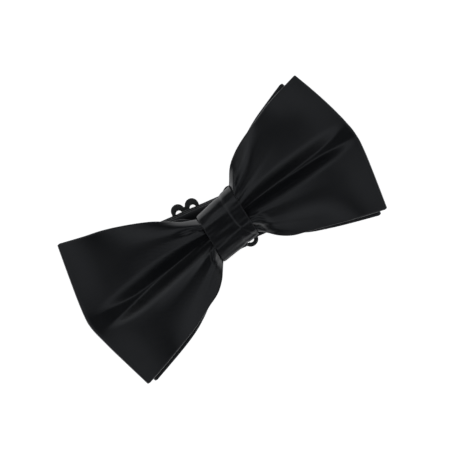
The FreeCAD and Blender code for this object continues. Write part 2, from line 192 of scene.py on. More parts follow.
def thread_piece(name, node, body, lines, radius, closed=False):
    """Sewing thread along lines of points in mm, standing for one CAD node."""
    data = bpy.data.curves.new(name, "CURVE")
    data.dimensions = "3D"
    data.bevel_depth = radius * MM
    data.bevel_resolution = 2
    for points in lines:
        line = data.splines.new("POLY")
        line.points.add(len(points) - 1)
        line.use_cyclic_u = closed
        for point, place in zip(line.points, points):
            point.co = (*(place * MM), 1)
    piece = bpy.data.objects.new(name, data)
    bpy.context.collection.objects.link(piece)
    data.materials.append(THREAD)
    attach(piece, body)
    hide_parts(node)


# ---------------------------------------------------------------- materials
def new_material(name):
    """A material with its nodes, its links and its main shader."""
    material = bpy.data.materials.new(name)
    material.use_nodes = True
    nodes, links = material.node_tree.nodes, material.node_tree.links
    return material, nodes, links, nodes["Principled BSDF"]


def satin(name, colour, light, sheen=0.05, rough=(0.26, 0.34)):
    """Black satin: fine diagonal twill, slubs and clouded gloss, with a faint cool sheen."""
    material, nodes, links, shader = new_material(name)
    place = nodes.new("ShaderNodeAttribute")
    place.attribute_name = "weave"
    world = nodes.new("ShaderNodeTexCoord")

    twill = nodes.new("ShaderNodeTexWave")
    twill.wave_type = "BANDS"
    twill.bands_direction = "DIAGONAL"
    twill.inputs["Scale"].default_value = 1.1
    twill.inputs["Distortion"].default_value = 0.6
    twill.inputs["Detail"].default_value = 1.0
    twill.inputs["Detail Scale"].default_value = 2.0
    links.new(place.outputs["Vector"], twill.inputs["Vector"])

    stretch = nodes.new("ShaderNodeMapping")
    stretch.inputs["Scale"].default_value = (0.9, 5.0, 1.0)
    links.new(place.outputs["Vector"], stretch.inputs["Vector"])
    slubs = nodes.new("ShaderNodeTexNoise")
    slubs.inputs["Scale"].default_value = 1.2
    slubs.inputs["Detail"].default_value = 3.0
    links.new(stretch.outputs["Vector"], slubs.inputs["Vector"])

    clouds = nodes.new("ShaderNodeTexNoise")
    clouds.inputs["Scale"].default_value = 90.0
    clouds.inputs["Detail"].default_value = 2.0
    links.new(world.outputs["Object"], clouds.inputs["Vector"])

    tone = nodes.new("ShaderNodeMix")
    tone.data_type = "RGBA"
    tone.inputs["A"].default_value = (*colour, 1)
    tone.inputs["B"].default_value = (*light, 1)
    both = nodes.new("ShaderNodeMath")
    both.operation = "MULTIPLY"
    links.new(twill.outputs["Fac"], both.inputs[0])
    links.new(slubs.outputs["Fac"], both.inputs[1])
    links.new(both.outputs[0], tone.inputs["Factor"])
    links.new(tone.outputs["Result"], shader.inputs["Base Color"])

    gloss = nodes.new("ShaderNodeMapRange")
    gloss.inputs["To Min"].default_value = rough[0]
    gloss.inputs["To Max"].default_value = rough[1]
    links.new(clouds.outputs["Fac"], gloss.inputs["Value"])
    links.new(gloss.outputs["Result"], shader.inputs["Roughness"])

    height = nodes.new("ShaderNodeMath")
    height.operation = "MULTIPLY_ADD"
    height.inputs[1].default_value = 0.6
    links.new(slubs.outputs["Fac"], height.inputs[0])
    links.new(twill.outputs["Fac"], height.inputs[2])
    bump = nodes.new("ShaderNodeBump")
    bump.inputs["Strength"].default_value = 0.25
    bump.inputs["Distance"].default_value = 0.00004
    links.new(height.outputs[0], bump.inputs["Height"])
    links.new(bump.outputs["Normal"], shader.inputs["Normal"])

    shader.inputs["Sheen Weight"].default_value = sheen
    shader.inputs["Sheen Roughness"].default_value = 0.35
    shader.inputs["Sheen Tint"].default_value = (0.72, 0.82, 1.0, 1)
    shader.inputs["Specular IOR Level"].default_value = 0.5
    return material


def plain_fibre(name, colour, light, scale, rough):
    """Matt fibres: mottled colour and a fine random bump."""
    material, nodes, links, shader = new_material(name)
    place = nodes.new("ShaderNodeTexCoord")
    fibres = nodes.new("ShaderNodeTexNoise")
    fibres.inputs["Scale"].default_value = scale
    fibres.inputs["Detail"].default_value = 4.0
    links.new(place.outputs["Object"], fibres.inputs["Vector"])
    tone = nodes.new("ShaderNodeMix")
    tone.data_type = "RGBA"
    tone.inputs["A"].default_value = (*colour, 1)
    tone.inputs["B"].default_value = (*light, 1)
    links.new(fibres.outputs["Fac"], tone.inputs["Factor"])
    links.new(tone.outputs["Result"], shader.inputs["Base Color"])
    bump = nodes.new("ShaderNodeBump")
    bump.inputs["Strength"].default_value = 0.5
    bump.inputs["Distance"].default_value = 0.0001
    links.new(fibres.outputs["Fac"], bump.inputs["Height"])
    links.new(bump.outputs["Normal"], shader.inputs["Normal"])
    shader.inputs["Roughness"].default_value = rough
    return material


def moulded_plastic():
    """Black moulded plastic with a faint grain and dulled, dusty patches."""
    material, nodes, links, shader = new_material("moulded_black_plastic")
    place = nodes.new("ShaderNodeTexCoord")
    grain = nodes.new("ShaderNodeTexNoise")
    grain.inputs["Scale"].default_value = 2200.0
    grain.inputs["Detail"].default_value = 3.0
    wear = nodes.new("ShaderNodeTexNoise")
    wear.inputs["Scale"].default_value = 260.0
    wear.inputs["Detail"].default_value = 5.0
    for texture in (grain, wear):
        links.new(place.outputs["Object"], texture.inputs["Vector"])
    tone = nodes.new("ShaderNodeMix")
    tone.data_type = "RGBA"
    tone.inputs["A"].default_value = (0.018, 0.019, 0.018, 1)
    tone.inputs["B"].default_value = (0.05, 0.052, 0.048, 1)
    links.new(wear.outputs["Fac"], tone.inputs["Factor"])
    links.new(tone.outputs["Result"], shader.inputs["Base Color"])
    gloss = nodes.new("ShaderNodeMapRange")
    gloss.inputs["To Min"].default_value = 0.28
    gloss.inputs["To Max"].default_value = 0.55
    links.new(wear.outputs["Fac"], gloss.inputs["Value"])
    links.new(gloss.outputs["Result"], shader.inputs["Roughness"])
    bump = nodes.new("ShaderNodeBump")
    bump.inputs["Strength"].default_value = 0.3
    bump.inputs["Distance"].default_value = 0.00003
    links.new(grain.outputs["Fac"], bump.inputs["Height"])
    links.new(bump.outputs["Normal"], shader.inputs["Normal"])
    return material


BOW_SATIN = satin("bow_satin_black", (0.003, 0.0033, 0.004), (0.008, 0.009, 0.011))
STRAP_SATIN = satin("neckband_satin_black", (0.003, 0.0033, 0.004), (0.007, 0.008, 0.0095),
                    sheen=0.04)
INTERLINING = plain_fibre("interlining_charcoal", (0.03, 0.03, 0.034), (0.09, 0.09, 0.1), 1500, 0.9)
THREAD = plain_fibre("thread_black", (0.006, 0.006, 0.007), (0.02, 0.02, 0.023), 4000, 0.6)
PLASTIC = moulded_plastic()


def finish_node(node, material):
    """A CAD node that stays, with its finished material."""
    piece = frame["nodes"][node]
    if not piece.material_slots:
        piece.data.materials.append(material)
    for slot in piece.material_slots:
        slot.material = material


# ---------------------------------------------------------------- the two bows
# Outlines run out from the knot as (distance, place across the bow); crests and backs are heights
# of a loop's upper and lower leaf from the knot, 0, to the wing's end, 1.
END_BEND = 0.15          # how softly a wing's end turns at its tip
GATHER_REACH = 8.0       # half the length that the knot holds
LEAF = 0.8               # thickness of one leaf, with its turned-in edges
WING_LENGTH = 60.0
SEAM_GAP = 0.3           # half the gap at the seam behind
SOFTENING = 2            # times that the front leaf's folds are averaged
FRONT = {
    "left": {"top": [(0, 7.7), (6, 7.4), (9, 8.7), (13, 10.6), (17, 13.6), (22, 17.2), (30, 21.4),
                     (38, 24.8), (45, 27.0), (53.6, 30.0)],
             "bottom": [(0, -7.2), (6, -7.5), (9, -9.4), (13, -14.2), (17, -17.4), (22, -19.4),
                        (30, -22.6), (38, -25.0), (47, -27.4), (56.0, -29.6)],
             "tip": 61.0, "sign": -1},
    "right": {"top": [(0, 7.7), (6, 8.3), (9, 11.4), (13, 16.6), (17, 19.6), (22, 22.0), (30, 24.8),
                      (38, 27.4), (51.2, 30.2)],
              "bottom": [(0, -7.2), (6, -6.9), (9, -8.5), (13, -13.0), (17, -16.0), (22, -18.0),
                         (30, -21.0), (38, -24.0), (50.0, -28.0)],
              "tip": 56.6, "sign": 1},
}
REAR = {
    "left": {"top": [(0, 7.4), (6, 7.2), (9, 8.0), (13, 9.8), (22, 16.2), (38, 23.6), (50.0, 28.4)],
             "bottom": [(0, -7.0), (6, -7.3), (9, -8.8), (13, -12.8), (22, -19.2), (30, -23.6),
                        (38, -26.4), (53.4, -30.4)],
             "tip": 57.0, "sign": -1},
    "right": {"top": [(0, 7.4), (6, 7.8), (9, 9.4), (13, 14.6), (22, 21.4), (30, 25.4), (38, 28.2),
                      (45.4, 30.6)],
              "bottom": [(0, -7.0), (6, -6.7), (9, -7.9), (13, -11.6), (22, -18.2), (30, -22.0),
                         (38, -25.2), (47.2, -28.6)],
              "tip": 52.6, "sign": 1},
}
FRONT_CREST = [(0, 18.2), (0.15, 18.4), (0.5, 17.0), (0.8, 15.6), (1, 13.9)]
FRONT_BACK = [(0, 14.0), (0.3, 12.4), (1, 12.3)]
REAR_CREST = [(0, 12.5), (0.3, 11.1), (1, 11.1)]
REAR_BACK = [(0, 10.0), (0.3, 9.6), (1, 9.55)]

# The front leaf's folds across the wing, from its lower edge to its upper edge: a pillow, a rim,
# the deep valley in the middle, a rim and a pillow. Each line runs out from the knot and has its
# place across the bow and its height, at these distances.
STATIONS = (0, 6, 12, 18, 24, 30, 36, 42, 48, 54, 61)
VALLEY_FLOOR = (-2.0, -2.4, -3.0, -3.5, -3.8, -3.8, -3.5, -3.1, -2.2, -1.0, 0)
FOLD_LINES = {
    "left": {
        "lower_edge": (None, (-2.8, -2.8, -2.6, -2.6, -2.4, -2.2, -1.6, -0.6, -0.2, 0, 0)),
        "lower_pillow": ((-3.2, -3.6, -5.4, -7.6, -9.4, -11.0, -12.4, -13.2, -13.4, -13.4, -13.4),
                         (0,) * 11),
        "lower_rim": ((-2.0, -2.3, -3.5, -4.9, -5.9, -6.9, -7.7, -8.1, -7.9, -7.2, -6.6),
                      (-0.5, -0.5, -0.5, -0.5, -0.5, -0.5, -0.5, -0.4, -0.4, -0.3, -0.1)),
        "lower_floor": ((0.7, 0.6, 0.3, -0.2, -0.6, -1.1, -1.9, -2.8, -3.7, -4.2, -4.2),
                        VALLEY_FLOOR),
        "upper_floor": ((0.9, 0.8, 0.5, 0.0, -0.4, -0.6, -0.9, -0.9, -0.2, 0.8, 1.4), VALLEY_FLOOR),
        "upper_rim": ((3.6, 3.8, 4.2, 4.8, 5.3, 5.5, 5.6, 5.3, 4.8, 4.6, 4.4),
                      (-0.5, -0.5, -0.5, -0.5, -0.5, -0.5, -0.5, -0.4, -0.4, -0.3, -0.1)),
        "upper_pillow": ((4.2, 4.8, 6.4, 8.2, 9.8, 11.0, 11.6, 12.0, 12.0, 12.0, 12.0),
                         (0,) * 11),
        "upper_edge": (None, (-2.8, -2.8, -2.8, -2.6, -2.4, -2.1, -1.4, -0.5, -0.1, 0, 0)),
    },
    "right": {
        "lower_edge": (None, (-2.8, -2.8, -2.8, -3.0, -3.2, -3.2, -2.2, -0.8, -0.2, 0, 0)),
        "lower_pillow": ((-2.8, -3.2, -4.2, -5.6, -6.8, -8.2, -9.6, -11.2, -11.8, -11.8, -11.8),
                         (0,) * 11),
        "lower_rim": ((-1.6, -1.6, -1.9, -2.7, -3.4, -3.9, -4.1, -4.1, -3.9, -3.4, -3.0),
                      (-0.5, -0.5, -0.5, -0.5, -0.5, -0.5, -0.5, -0.4, -0.4, -0.3, -0.1)),
        "lower_floor": ((1.0, 1.2, 1.7, 1.9, 1.9, 1.7, 1.5, 1.2, 0.5, 0.0, -0.2), VALLEY_FLOOR),
        "upper_floor": ((1.2, 1.4, 2.0, 2.3, 2.5, 2.6, 2.8, 3.0, 3.6, 4.6, 5.2), VALLEY_FLOOR),
        "upper_rim": ((3.8, 4.4, 6.0, 7.2, 7.8, 8.2, 8.5, 8.6, 8.6, 8.4, 8.2),
                      (-0.5, -0.6, -0.6, -0.6, -0.7, -0.8, -0.8, -0.7, -0.6, -0.4, -0.1)),
        "upper_pillow": ((4.6, 5.8, 8.8, 12.0, 17.0, 19.5, 19.5, 18.0, 17.0, 16.0, 15.0),
                         (0,) * 11),
        "upper_edge": (None, (-2.8, -2.8, -2.8, -2.6, -1.4, -0.5, -0.4, -1.0, -1.2, -0.6, 0)),
    },
}

# Small pleats that curl out from under the knot: a path of (distance, place across the bow),
# then half width and height.
PLEATS = {
    "left": [([(7.0, -2.8), (9.5, -4.2), (11.0, -7.0), (11.6, -10.5)], 0.7, 0.9),
             ([(8.0, -5.5), (9.2, -8.5), (9.6, -11.0)], 0.5, -0.7),
             ([(7.5, 5.0), (12.0, 8.6), (19.0, 12.4)], 1.5, 0.6),
             ([(7.5, 3.6), (12.0, 6.4), (17.0, 8.0)], 0.8, -0.5)],
    "right": [([(7.2, -3.0), (10.4, -3.4), (12.4, -6.0), (13.6, -10.5)], 1.0, 0.5),
              ([(7.6, -5.0), (9.6, -6.2), (10.8, -9.5)], 0.6, -0.8),
              ([(8.4, 8.6), (11.0, 12.0), (15.0, 16.8)], 1.2, 0.7),
              ([(8.0, 9.8), (9.4, 11.8)], 0.9, -1.6)],
}

WALLS = (2, 4)           # the steps between lines that are the valley's two walls
EASE = 0.5               # share of a wall that keeps one slope before it rounds over its rim


def across_lines(y, lines):
    """Heights at y on curves that pass level over each summit, through lines of (place, height).

    The valley's walls keep one slope from the floor, and round over near the rim.
    """
    places = np.stack([np.broadcast_to(p, y.shape) for p, _ in lines])
    heights = np.stack([np.broadcast_to(h, y.shape) for _, h in lines])
    step = np.maximum(np.diff(places, axis=0), 0.05)
    rise = np.diff(heights, axis=0) / step
    slope = np.zeros_like(heights)
    slope[0], slope[-1] = rise[0] * 1.4, rise[-1] * 1.4
    same = rise[:-1] * rise[1:] > 0
    harmonic = 2 * rise[:-1] * rise[1:] / np.where(same, rise[:-1] + rise[1:], 1)
    slope[1:-1] = np.where(same, harmonic, 0)
    total = np.zeros_like(y)
    for k in range(len(lines) - 1):
        here = (y >= places[k]) & (y <= places[k + 1]) if k else y <= places[1]
        if k == len(lines) - 2:
            here = y >= places[k]
        h = step[k]
        t = np.clip((y - places[k]) / h, 0, 1)
        value = ((2 * t**3 - 3 * t**2 + 1) * heights[k] + (t**3 - 2 * t**2 + t) * h * slope[k]
                 + (3 * t**2 - 2 * t**3) * heights[k + 1] + (t**3 - t**2) * h * slope[k + 1])
        if k in WALLS:
            rim, floor = (k, k + 1) if k == WALLS[0] else (k + 1, k)
            u = 1 - t if k == WALLS[0] else t
            deep = heights[rim] - heights[floor]
            level = np.abs(slope[rim]) * h / np.maximum(deep, 0.05)
            steep = (1 - level * (1 - EASE) / 2) / ((1 + EASE) / 2)
            value = heights[floor] + deep * (
                steep * u - (steep - level) * np.maximum(u - EASE, 0)**2 / (2 * (1 - EASE)))
        total = np.where(here, value, total)
    return total


def near_path(x, y, path):
    """Distance from (x, y) to a path, and how far along it the nearest point is, 0 to 1."""
    best = np.full(x.shape, 1e9)
    along = np.zeros(x.shape)
    for k in range(len(path) - 1):
        (x0, y0), (x1, y1) = path[k], path[k + 1]
        t = np.clip(((x - x0) * (x1 - x0) + (y - y0) * (y1 - y0))
                    / ((x1 - x0)**2 + (y1 - y0)**2), 0, 1)
        d = np.hypot(x - x0 - t * (x1 - x0), y - y0 - t * (y1 - y0))
        nearer = d < best
        best = np.where(nearer, d, best)
        along = np.where(nearer, (k + t) / (len(path) - 1), along)
    return best, along


def gathers(side, distance, y):
    """Fine radial wrinkles that the knot pulls into the cloth, dying out along the wing."""
    fan = np.arctan2(y - 1.0, distance + 4.0)
    sign = FRONT[side]["sign"]
    waves = (np.sin(31 * fan + 1.7 * sign) + 0.7 * np.sin(53 * fan + 0.9)
             + 0.5 * np.sin(83 * fan + 2.2 * sign))
    return 0.07 * waves * np.exp(-np.maximum(distance - 7, 0) / 9.0)


def relief(side, distance, y):
    """Height of the front leaf's folds, wrinkles and pleats above its crest line."""
    lines = []
    for name, (place, height) in FOLD_LINES[side].items():
        if place is None:
            edge = FRONT[side]["top" if name == "upper_edge" else "bottom"]
            place = smooth(edge, distance)
        else:
            place = smooth(list(zip(STATIONS, place)), distance)
        lines.append((place, smooth(list(zip(STATIONS, height)), distance)))
    total = across_lines(y, lines) + gathers(side, distance, y)
    for path, half_width, height in PLEATS[side]:
        d, along = near_path(distance, y, path)
        total = total + height * np.exp(-(d / half_width)**2) * (1 - ramp(along, 0.6, 1.0) * 0.8)
    return total


def wing_plan(bow, side, reach, v):
    """Distance from the knot and place across the bow, at reach 0 to 1 and v from -1 to 1."""
    wing = bow[side]
    corner_t, corner_b = wing["top"][-1][0], wing["bottom"][-1][0]
    up = (v + 1) / 2
    along = reach * (corner_b + (corner_t - corner_b) * up)
    top = smooth(wing["top"], reach * corner_t)
    bottom = smooth(wing["bottom"], reach * corner_b)
    full = math.sqrt(1 + END_BEND**2)
    tent = (full - np.sqrt(v * v + END_BEND**2)) / (full - END_BEND)
    along = along + (wing["tip"] - (corner_t + corner_b) / 2) * tent * reach**3
    return along, bottom + (top - bottom) * up


def wing_leaf(bow, side, reach, v, front, crest, back):
    """Centre of one leaf of a wing, in mm."""
    span = bow[side]["tip"]
    r = np.clip((reach * span - GATHER_REACH) / (span - GATHER_REACH), 0, 1)
    distance, y = wing_plan(bow, side, reach, v)
    x = KNOT_X + bow[side]["sign"] * distance
    if not front:
        return np.stack([x, y, smooth(back, r)], -1)
    z = smooth(crest, r)
    if bow is FRONT:
        z = z + relief(side, distance, y)
    return np.stack([x, y, z], -1)


def softened(height, passes):
    """Folds rounded as cloth rounds them, by averaging over the net; its borders stay put."""
    for _ in range(passes):
        height[:, 1:-1] = (height[:, :-2] + 2 * height[:, 1:-1] + height[:, 2:]) / 4
        height[1:-1] = (height[:-2] + 2 * height[1:-1] + height[2:]) / 4
    return height


def loop_net(bow, crest, back, face_rows, back_rows, cols, seam):
    """Points of a flattened satin loop, from its seam behind, round both ends, to the seam."""
    v = np.linspace(-1, 1, cols)[None, :]

    def half_loop(side):
        reach = (1 - (1 - np.linspace(0, 1, face_rows))**1.5)[:, None]
        face = wing_leaf(bow, side, reach + 0 * v, v + 0 * reach, True, crest, back)
        reach = np.maximum((1 - np.linspace(0, 1, back_rows)**1.5)[:, None], seam / WING_LENGTH)
        rear = wing_leaf(bow, side, reach + 0 * v, v + 0 * reach, False, crest, back)
        top, low = face[-1], rear[0]
        if bow is FRONT:
            face[..., 2] = softened(face[..., 2], SOFTENING)
        turn = []
        for k in range(1, 10):
            a = math.pi * k / 10
            middle = (top + low) / 2
            radius = (top[:, 2] - low[:, 2]) / 2
            point = middle.copy()
            point[:, 0] = top[:, 0] + bow[side]["sign"] * radius * math.sin(a)
            point[:, 2] = middle[:, 2] + radius * math.cos(a)
            turn.append(point)
        return np.concatenate([face, turn, rear])

    left, right = half_loop("left"), half_loop("right")
    return np.concatenate([left[::-1], right[1:]])


def build_bow(name, bow, crest, back, rows, cols):
    """One satin loop, and the interlining that lies inside its cloth."""
    net = loop_net(bow, crest, back, rows, rows // 2, cols, SEAM_GAP)
    satin_piece = tube_sheet(name + "_satin_loop", net, LEAF, BOW_SATIN)
    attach(satin_piece, "bow")
    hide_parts(name + "_satin")
    lining = tube_sheet(name + "_interlining_loop", net[4:-4:2, 4:-4:3], 0.2, INTERLINING)
    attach(lining, "bow")
    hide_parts(name + "_interlining")
    finish_node(name + "_seam_stitches", THREAD)
    return satin_piece


front = build_bow("front_bow", FRONT, FRONT_CREST, FRONT_BACK, 200, 150)
rear = build_bow("rear_bow", REAR, REAR_CREST, REAR_BACK, 90, 60)


# ---------------------------------------------------------------- knot band
def knot_net(rows, cols, inset, reach=1.0):
    """Points of the band round the bow, its crest towards the top, with an overlap and wrinkles."""
    turn = np.linspace(0, 2 * math.pi, rows, endpoint=False)[:, None] - math.pi / 2
    v = np.linspace(-reach, reach, cols)[None, :]
    half = KNOT_HALF + KNOT_FLARE * (v + 1) / 2 - inset
    x0 = KNOT_X + v * KNOT_WIDTH / 2
    for place, width in ((-6.4, 0.7), (5.0, 0.8)):
        half = half - 0.35 * np.exp(-((x0 - place) / width)**2)
    c, s = np.cos(turn), np.sin(turn)
    power = 2 / (8.0 - 5.6 * ramp(s, -0.15, 0.15))
    middle = (KNOT_TOP + KNOT_BACK) / 2
    high = (KNOT_TOP - KNOT_BACK) / 2 - inset
    y = half * np.sign(c) * np.abs(c)**power
    z = middle + high * np.sign(s) * np.abs(s)**power
    x = x0 + KNOT_LEAN * y
    y = KNOT_Y + KNOT_RISE * v + y
    front_side = ramp(s, 0.1, 0.6)
    lean = 0.08 * (np.clip(y, -9, 4) - 4) + 0.3 * np.exp(-((y + 3.8 - 0.1 * x) / 1.6)**2)
    creases = 0.035 * np.sin(1.9 * y + 0.25 * x) + 0.02 * np.sin(3.1 * y - 0.4 * x + 1.0)
    seam = 5.0 + 0.057 * np.minimum(y, 0)**2
    overlap = 0.14 * ramp(x, seam - 0.9, seam + 0.9) - 0.10 * np.exp(-((x - seam) / 0.5)**2)
    z = z + front_side * (lean + creases + overlap - 0.2)
    z = np.minimum(z, KNOT_TOP - inset)
    return np.stack([x + 0 * y, y, z], -1)


def build_knot():
    """The band round both bows, and its lining."""
    piece = tube_sheet("knot_band", knot_net(240, 80, 0.3), 0.6, BOW_SATIN, closed=True)
    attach(piece, "bow")
    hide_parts("knot_satin")
    lining = tube_sheet("knot_lining_band", knot_net(120, 24, 0.82, 0.9), 0.25, INTERLINING,
                        closed=True)
    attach(lining, "bow")
    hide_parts("knot_interlining")
    finish_node("knot_seam_stitches", THREAD)


def build_gathering_thread():
    """Turns of thread that draw both bows in, just inside the knot's lining."""
    turns = knot_net(120, 3, 1.25, 0.3).transpose(1, 0, 2)
    thread_piece("gathering_turns", "gathering_thread", "bow", turns, 0.25, closed=True)


build_knot()
build_gathering_thread()

# ---------------------------------------------------------------- neckband
# Heights of the strap's runs, and places s along it of folds, slider and bars.
RUN_1_Z, RUN_2_Z, RUN_3_Z, LEFT_RUN_4_Z, RIGHT_RUN_4_Z, RETURN_Z = 8.55, 6.45, 5.45, 1.2, 2.75, 0.35
OUTER_FOLD, END_FOLD, LEFT_INNER_FOLD, RIGHT_INNER_FOLD = 49.0, 47.0, 5.5, 9.0
SLIDER_S, SLIDER_Z, EYE_BAR_S, HOOK_BAR_S, BAR_Z, PLATE = -9.8, 2.4, 5.9, 24.6, 1.55, 1.4
FIXED_RUN_END = -36.0    # left run 4 ends here; the adjusting run goes on from here to the slider
SLIDER_HALF = 5.4        # half the slider's length along the strap
TUCK = 1.7               # how much further out a tucked run lies
TACK_WIDTH, TACK_POINTS, ZIGZAG = 16, 41, 0.3


def half_turn(s, z_from, z_to, towards, run_from, run_to, count=12):
    """Path points round a fold, with the run each one belongs to."""
    radius, middle = abs(z_from - z_to) / 2, (z_from + z_to) / 2
    down = 1 if z_from > z_to else -1
    points = []
    for k in range(count + 1):
        a = math.pi * k / count
        points.append((s + towards * radius * math.sin(a), middle + down * radius * math.cos(a),
                       run_from + (run_to - run_from) * k / count))
    return points


def straight(s0, s1, z, run, step=0.9):
    """Path points along a flat run, after its first point."""
    count = max(2, int(abs(s1 - s0) / step))
    return [(s0 + (s1 - s0) * k / count, z, run) for k in range(1, count + 1)]


def rounded(corners, run, cut=0.35):
    """Path through corners with each one turned in a small arc."""
    points = [corners[0]]
    for k in range(1, len(corners) - 1):
        here, before, after = (np.array(corners[i], float) for i in (k, k - 1, k + 1))
        to_before, to_after = before - here, after - here
        reach = min(cut, 0.45 * np.linalg.norm(to_before), 0.45 * np.linalg.norm(to_after))
        start = here + to_before / np.linalg.norm(to_before) * reach
        end = here + to_after / np.linalg.norm(to_after) * reach
        for j in range(7):
            u = j / 6
            points.append(tuple((1 - u)**2 * start + 2 * u * (1 - u) * here + u * u * end))
    points.append(corners[-1])
    return [(s, z, run) for s, z in points]


def strap(name, path, nodes, half=None, middle=None, tucked=False):
    """Neckband along a path of (s, z, run): a flat tube of satin with rounded edges.

    A tucked run lies a little further out behind the knot, out of sight below the wing.
    """
    path = np.array(path, float)
    s, z, run = path[:, 0], path[:, 1], path[:, 2]
    v = np.linspace(-1, 1, 15)
    width = np.full(len(path), STRAP_WIDTH / 2) if half is None else half
    raised = TUCK * ramp(s, 4.0, 8.0) * (1 - ramp(s, 20.0, 38.0)) * ramp(run, 1.0, 2.0) * tucked
    centre = run_offset(run) + raised if middle is None else middle
    lateral = centre[:, None] + v[None, :] * (width[:, None] - STRAP / 2)
    net = np.stack([s[:, None] * ALONG.x + lateral * ACROSS.x,
                    s[:, None] * ALONG.y + lateral * ACROSS.y,
                    np.broadcast_to(z[:, None], lateral.shape)], -1)
    piece = tube_sheet(name, net, STRAP, STRAP_SATIN, rim=5)
    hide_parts(*nodes)
    return piece


def build_centre_run():
    """Run 1 is drawn in where the knot band passes round it."""
    s = np.linspace(-OUTER_FOLD, OUTER_FOLD, 121)
    narrow = np.exp(-((s - 2.2) / 12.0)**4)
    piece = strap("neckband_centre", [(x, RUN_1_Z, 1) for x in s], ["neckband_run_1"],
                  half=(STRAP_WIDTH - 8.0 * narrow) / 2,
                  middle=run_offset(1) + 0.8 * s * math.tan(math.radians(12)) * narrow)
    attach(piece, "bow")


def build_side(side):
    """The folded runs of one side, each fold joined to the run that it leads to."""
    out = -1 if side == "left" else 1
    inner = LEFT_INNER_FOLD if side == "left" else RIGHT_INNER_FOLD
    last_z = LEFT_RUN_4_Z if side == "left" else RIGHT_RUN_4_Z
    outer, end = out * OUTER_FOLD, out * END_FOLD

    path = half_turn(outer, RUN_1_Z, RUN_2_Z, out, 1, 2) + straight(outer, inner, RUN_2_Z, 2)
    piece = strap(side + "_band_2", path, [side + "_outer_fold", side + "_run_2"], tucked=out > 0)
    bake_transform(piece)

    path = half_turn(inner, RUN_2_Z, RUN_3_Z, -out, 2, 3) + straight(inner, end, RUN_3_Z, 3)
    piece = strap(side + "_band_3", path, [side + "_inner_fold", side + "_run_3"], tucked=out > 0)
    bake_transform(piece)

    path = half_turn(end, RUN_3_Z, last_z, out, 3, 4, 18)
    nodes = [side + "_end_fold", side + "_run_4"]
    if side == "left":
        path += straight(end, FIXED_RUN_END, last_z, 4)
    else:
        path += straight(end, HOOK_BAR_S, last_z, 4)
        path += half_turn(HOOK_BAR_S, last_z, RETURN_Z, -1, 4, 4)[1:]
        path += straight(HOOK_BAR_S, HOOK_BAR_S + 9, RETURN_Z, 4)
        nodes += ["hook_strap_turn", "hook_strap_tongue"]
    piece = strap(side + "_band_4", path, nodes)
    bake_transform(piece)


def build_adjuster():
    """The strap that runs over the slider and round the eye's bar, and its end on the slider."""
    half = SLIDER_HALF + 0.3
    piece = strap("adjusting_run", [(FIXED_RUN_END, LEFT_RUN_4_Z, 4)]
                  + straight(FIXED_RUN_END, SLIDER_S - half, LEFT_RUN_4_Z, 4), ["left_run_4_free"])
    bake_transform(piece)

    hump = [(-half, 1.2), (-2.87, 1.2), (-2.87, 4.37), (2.87, 4.37), (2.87, 1.2), (half, 1.2)]
    piece = strap("slider_strap", rounded([(SLIDER_S + s, z) for s, z in hump], 4, 0.45),
                  ["strap_over_slider"])
    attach(piece, "slider")
    loop = [(-2.05, 1.6), (-2.05, 3.55), (2.05, 3.55), (2.05, 1.4), (1.15, RETURN_Z + 0.75),
            (-1.3, RETURN_Z + 0.75)]
    piece = strap("slider_end_loop", rounded([(SLIDER_S + s, z) for s, z in loop], 4, 0.4),
                  ["strap_end_loop"])
    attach(piece, "slider")

    upper = rounded([(SLIDER_S + half, 1.2), (SLIDER_S + half + 1.5, 1.2),
                     (EYE_BAR_S - 2.5, RIGHT_RUN_4_Z), (EYE_BAR_S, RIGHT_RUN_4_Z)], 4, 0.8)
    dense = [upper[0]]
    for a, b in zip(upper, upper[1:]):
        steps = max(1, int(math.hypot(b[0] - a[0], b[1] - a[1]) / 0.7))
        dense += [(a[0] + (b[0] - a[0]) * k / steps, a[1] + (b[1] - a[1]) * k / steps, 4)
                  for k in range(1, steps + 1)]
    path = dense + half_turn(EYE_BAR_S, RIGHT_RUN_4_Z, RETURN_Z, 1, 4, 4)[1:]
    path += straight(EYE_BAR_S, SLIDER_S - 1.4, RETURN_Z, 4)
    piece = strap("eye_strap", path, ["eye_strap_upper", "eye_strap_turn", "eye_strap_return"])
    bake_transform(piece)


# ---------------------------------------------------------------- slider, eye and hook
def arc(cx, cy, radius, start, stop, count=12):
    """Points on an arc, from start to stop in degrees."""
    return [(cx + radius * math.cos(math.radians(start + (stop - start) * k / count)),
             cy + radius * math.sin(math.radians(start + (stop - start) * k / count)))
            for k in range(count + 1)]


def stadium(cx, width, length):
    """A slot with round ends, long across the strap."""
    r, reach = width / 2, (length - width) / 2
    return arc(cx, reach, r, 0, 180) + arc(cx, -reach, r, 180, 360)


